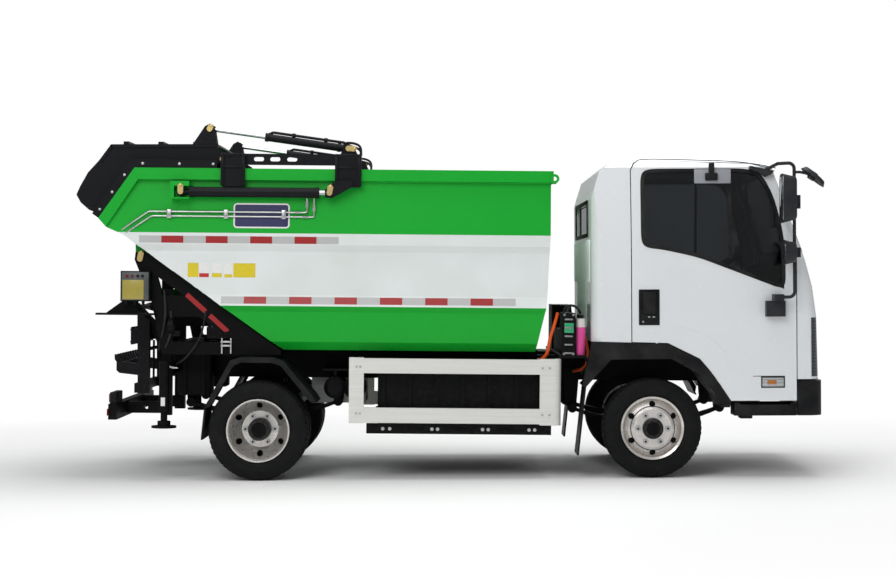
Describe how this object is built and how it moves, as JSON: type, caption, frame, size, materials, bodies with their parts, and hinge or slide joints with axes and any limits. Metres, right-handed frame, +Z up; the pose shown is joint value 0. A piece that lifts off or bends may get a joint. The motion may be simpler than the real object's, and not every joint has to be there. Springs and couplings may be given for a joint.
{
  "type": "garbage truck",
  "caption": "Battery electric self-loading garbage truck: tipping tub, sliding carriage with pusher blade, rear bin lifter, two-seat cab.",
  "frame": {"origin": "on the ground, under the middle of the overall length and width", "axes": "+X forward, +Y to the vehicle's left, +Z up"},
  "size_m": [5.3098, 2.27, 2.5346],
  "materials": {
    "frame_black": "satin black chassis paint",
    "tub_green": "green and white body paint, red and white tapes",
    "charcoal": "semi-gloss charcoal paint",
    "cab_white": "gloss white cab paint",
    "guard_white": "white paint",
    "glass": "tinted glass",
    "tyre": "black rubber",
    "rim_silver": "silver wheel paint",
    "axle_black": "black paint on castings",
    "black_plastic": "moulded black plastic",
    "battery_grey": "dark grey box paint",
    "motor_grey": "cast housing",
    "rod_chrome": "hard chrome",
    "lamp": "clear lamp cover",
    "seat_fabric": "dark grey fabric",
    "dash_grey": "grained grey plastic",
    "box_grey": "light grey box paint"
  },
  "bodies": {
    "chassis": {"frame_rails": "frame_black", "tilt_frame": "frame_black", "front_axle": "axle_black", "rear_axle": "axle_black", "leaf_springs": "frame_black", "battery_pack": "battery_grey", "drive_motor": "motor_grey", "power_unit": "black_plastic", "side_guards": "guard_white", "rear_mudguards": "black_plastic", "stabiliser_legs": "frame_black", "rear_underrun": "frame_black", "control_box": "box_grey", "lamps": "lamp", "cab_roof": "cab_white", "cab_back": "cab_white", "cab_front": "cab_white", "cab_glass": "glass", "cab_floor": "frame_black", "dashboard": "dash_grey", "seats": "seat_fabric", "steering_wheel": "black_plastic", "bumper": "cab_white", "cab_steps": "black_plastic", "cab_flares": "black_plastic"},
    "tub": {"tub_sides": "tub_green", "tub_floor": "tub_green", "tub_front": "tub_green", "tub_rim": "tub_green", "rim_guards": "charcoal", "slide_cylinder_barrels": "charcoal"},
    "carriage": {"slide_carriage": "charcoal", "slide_cylinder_rods": "rod_chrome"},
    "blade": {"pusher_blade": "charcoal"},
    "swing_barrels": {"swing_cylinder_barrels": "charcoal"},
    "swing_rods": {"swing_cylinder_rods": "rod_chrome"},
    "lift_barrels": {"lift_cylinder_barrels": "charcoal"},
    "lift_rods": {"lift_cylinder_rods": "rod_chrome"},
    "lifter": {"lifter_slide": "charcoal"},
    "comb": {"lifter_frame": "charcoal"},
    "door_right": {"door_right": "cab_white", "door_glass_right": "glass", "mirror_right": "black_plastic", "kerb_mirror": "black_plastic"},
    "knuckle_right": {"knuckle_right": "axle_black"},
    "wheel_front_right": {"tyre_front_right": "tyre", "rim_front_right": "rim_silver"},
    "wheels_rear_right": {"tyres_rear_right": "tyre", "rims_rear_right": "rim_silver"},
    "door_left": {"door_left": "cab_white", "door_glass_left": "glass", "mirror_left": "black_plastic"},
    "knuckle_left": {"knuckle_left": "axle_black"},
    "wheel_front_left": {"tyre_front_left": "tyre", "rim_front_left": "rim_silver"},
    "wheels_rear_left": {"tyres_rear_left": "tyre", "rims_rear_left": "rim_silver"}
  },
  "joints": [
    {"name": "tub_tip", "type": "hinge", "parent": "chassis", "child": "tub", "pos_m": [-2.21274, 0, 1.57677], "axis": [0, -1, 0], "range_deg": [0, 50]},
    {"name": "lift_base", "type": "hinge", "parent": "chassis", "child": "lift_barrels", "pos_m": [-1.30353, 0, 0.65399], "axis": [0, -1, 0], "range_deg": [-18, 0]},
    {"name": "lift_stroke", "type": "slide", "parent": "lift_barrels", "child": "lift_rods", "axis": [-0.5888, 0, 0.8083], "range_m": [0, 0.39]},
    {"name": "carriage_slide", "type": "slide", "parent": "tub", "child": "carriage", "axis": [0.9999, 0, -0.014], "range_m": [0, 0.8]},
    {"name": "blade_swing", "type": "hinge", "parent": "carriage", "child": "blade", "pos_m": [-1.60885, 0, 2.28041], "axis": [0, -1, 0], "range_deg": [-70, 0]},
    {"name": "swing_base", "type": "hinge", "parent": "carriage", "child": "swing_barrels", "pos_m": [-0.71978, 0, 2.351], "axis": [0, -1, 0], "range_deg": [0, 1]},
    {"name": "swing_stroke", "type": "slide", "parent": "swing_barrels", "child": "swing_rods", "axis": [-0.9892, 0, 0.1464], "range_m": [-0.272, 0]},
    {"name": "lifter_rise", "type": "slide", "parent": "chassis", "child": "lifter", "axis": [-0.014, 0, -0.9999], "range_m": [-0.43, 0]},
    {"name": "comb_tilt", "type": "hinge", "parent": "lifter", "child": "comb", "pos_m": [-2.3297, 0, 1.22237], "axis": [0, -1, 0], "range_deg": [-100, 0]},
    {"name": "door_right", "type": "hinge", "parent": "chassis", "child": "door_right", "pos_m": [2.44, -0.92, 1.3], "axis": [0, 0, 1], "range_deg": [0, 65]},
    {"name": "steer_right", "type": "hinge", "parent": "chassis", "child": "knuckle_right", "pos_m": [1.43, -0.65, 0.354], "axis": [0, 0, 1], "range_deg": [-35, 35]},
    {"name": "roll_front_right", "type": "hinge", "parent": "knuckle_right", "child": "wheel_front_right", "pos_m": [1.43, -0.78, 0.354], "axis": [0, 1, 0], "continuous": true},
    {"name": "roll_rear_right", "type": "hinge", "parent": "chassis", "child": "wheels_rear_right", "pos_m": [-1.37, -0.735, 0.354], "axis": [0, 1, 0], "continuous": true},
    {"name": "door_left", "type": "hinge", "parent": "chassis", "child": "door_left", "pos_m": [2.44, 0.92, 1.3], "axis": [0, 0, -1], "range_deg": [0, 65]},
    {"name": "steer_left", "type": "hinge", "parent": "chassis", "child": "knuckle_left", "pos_m": [1.43, 0.65, 0.354], "axis": [0, 0, 1], "range_deg": [-35, 35]},
    {"name": "roll_front_left", "type": "hinge", "parent": "knuckle_left", "child": "wheel_front_left", "pos_m": [1.43, 0.78, 0.354], "axis": [0, 1, 0], "continuous": true},
    {"name": "roll_rear_left", "type": "hinge", "parent": "chassis", "child": "wheels_rear_left", "pos_m": [-1.37, 0.735, 0.354], "axis": [0, 1, 0], "continuous": true}
  ],
  "couplings": [
    {"joint": "lift_base", "follows": "tub_tip", "ratio": -0.346},
    {"joint": "lift_stroke", "follows": "tub_tip", "m_per_rad": 0.4445},
    {"joint": "swing_base", "follows": "blade_swing", "ratio": -0.01386},
    {"joint": "swing_stroke", "follows": "blade_swing", "m_per_rad": 0.2217},
    {"joint": "steer_left", "follows": "steer_right", "ratio": 1}
  ]
}
